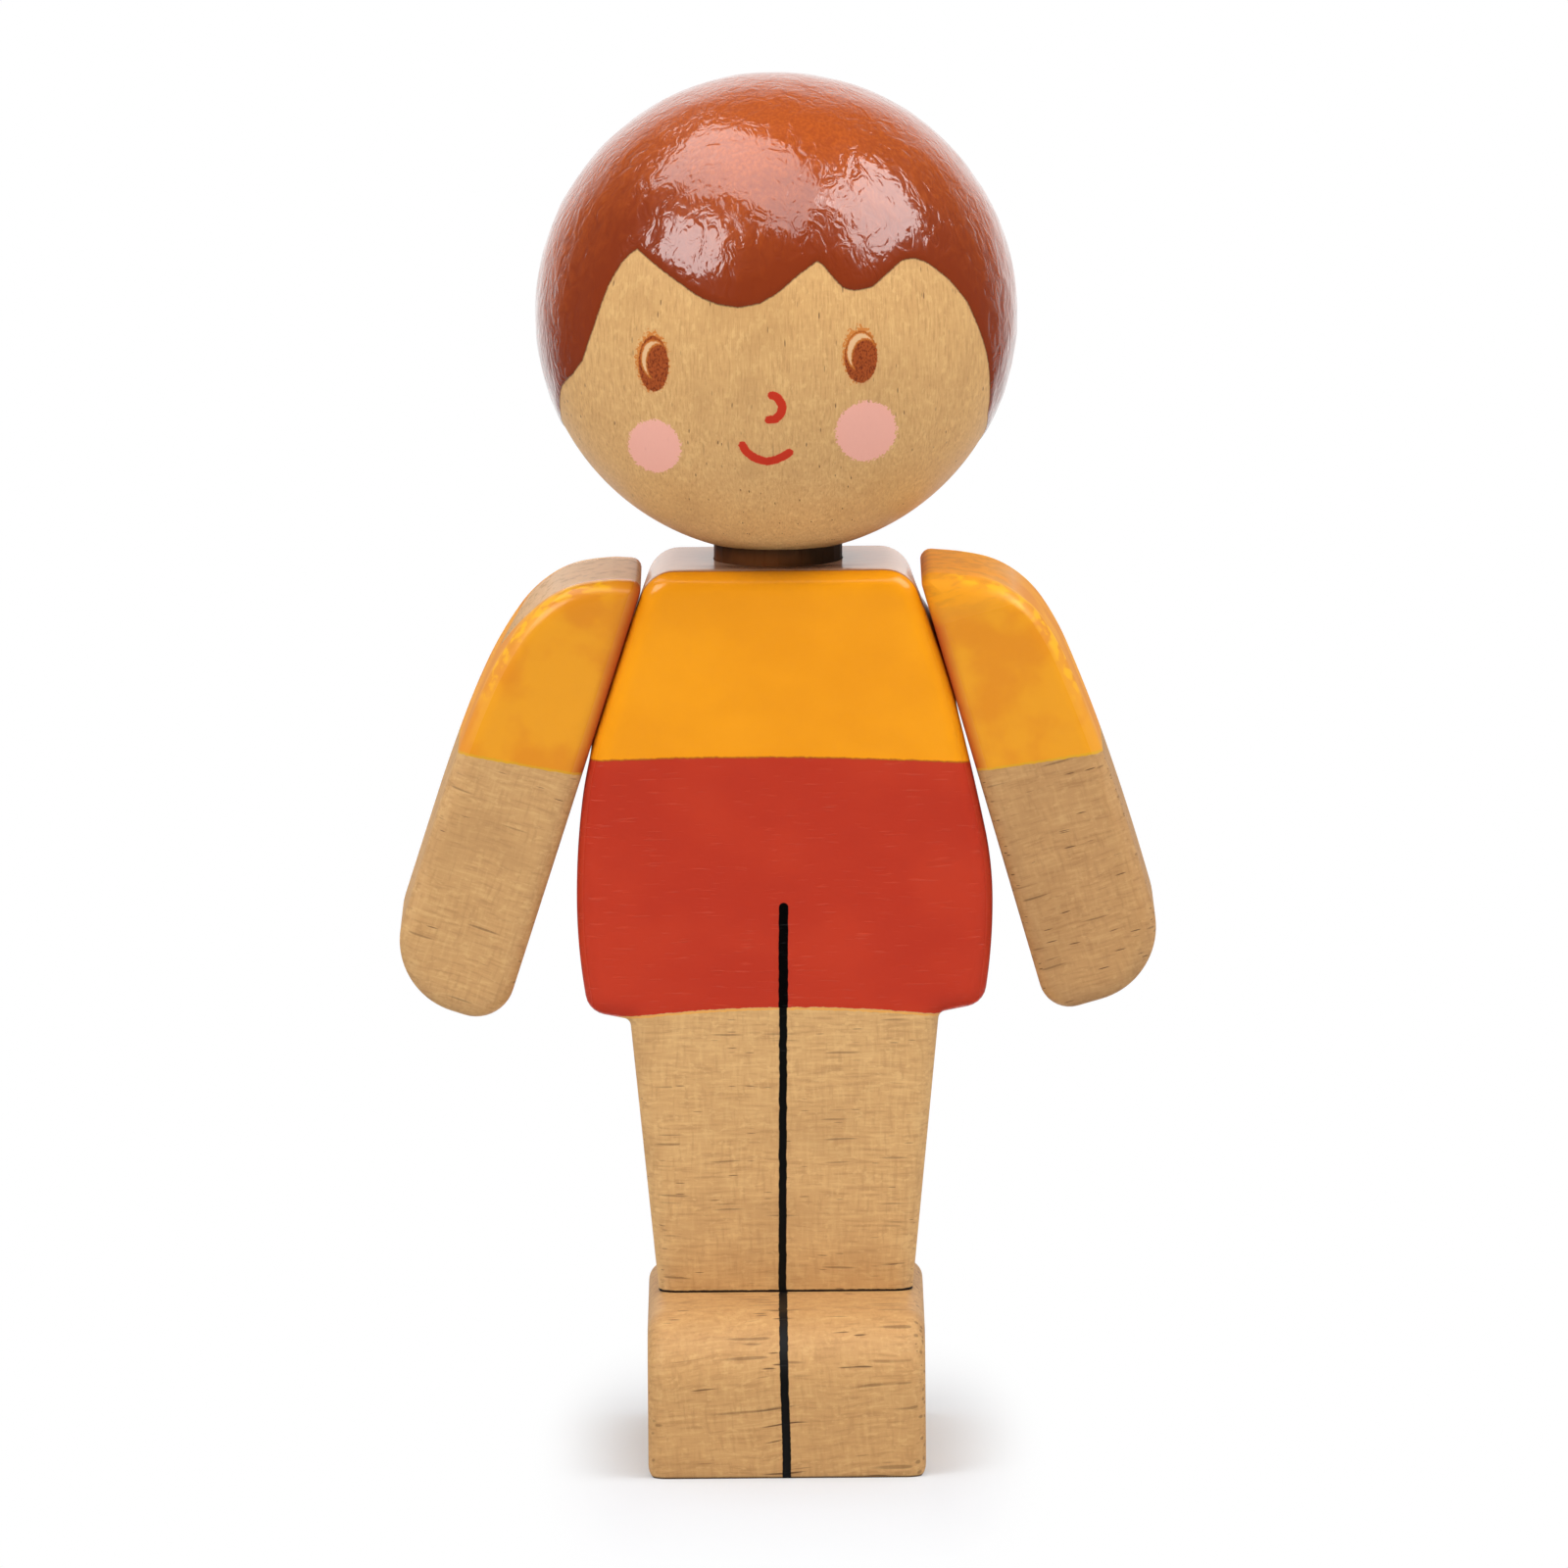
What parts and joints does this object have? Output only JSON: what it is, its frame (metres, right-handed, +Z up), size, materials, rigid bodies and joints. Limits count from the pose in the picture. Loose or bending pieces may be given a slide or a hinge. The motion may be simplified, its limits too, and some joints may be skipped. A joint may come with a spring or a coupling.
{
  "type": "wooden dollhouse figure",
  "caption": "Painted wooden dollhouse child that stands on a one-piece foot block, with a ball head that turns and flat arms that swing.",
  "frame": {"origin": "on the sole of the foot block, under the middle of the board that makes the body and the legs", "axes": "+Z up along the standing figure, -Y the way it faces, +X to the figure's own left"},
  "size_m": [0.0472, 0.032, 0.0856],
  "materials": {
    "painted_head": "gloss paint over lacquered wood",
    "painted_body": "satin paint over lacquered wood",
    "painted_arm": "satin paint over lacquered wood",
    "lacquered_wood": "satin lacquer",
    "dark_dowel": "dark stain",
    "plain_dowel": "bare wood"
  },
  "bodies": {
    "figure_body": {"body": "painted_body", "foot_block": "lacquered_wood", "right_foot_dowel": "plain_dowel", "left_foot_dowel": "plain_dowel", "neck_dowel": "dark_dowel", "right_shoulder_dowel": "plain_dowel", "left_shoulder_dowel": "plain_dowel"},
    "head": {"head": "painted_head"},
    "right_arm": {"right_arm": "painted_arm"},
    "left_arm": {"left_arm": "painted_arm"}
  },
  "joints": [
    {"name": "head_turn", "type": "hinge", "parent": "figure_body", "child": "head", "pos_m": [-0.00025, 0, 0.0562], "axis": [0, 0, 1], "continuous": true},
    {"name": "right_arm_swing", "type": "hinge", "parent": "figure_body", "child": "right_arm", "pos_m": [-0.01015, 0, 0.04761], "axis": [-0.9505, 0, 0.3107], "range_deg": [-120, 120]},
    {"name": "left_arm_swing", "type": "hinge", "parent": "figure_body", "child": "left_arm", "pos_m": [0.01001, 0, 0.04807], "axis": [0.9627, 0, 0.2706], "range_deg": [-120, 120]}
  ]
}
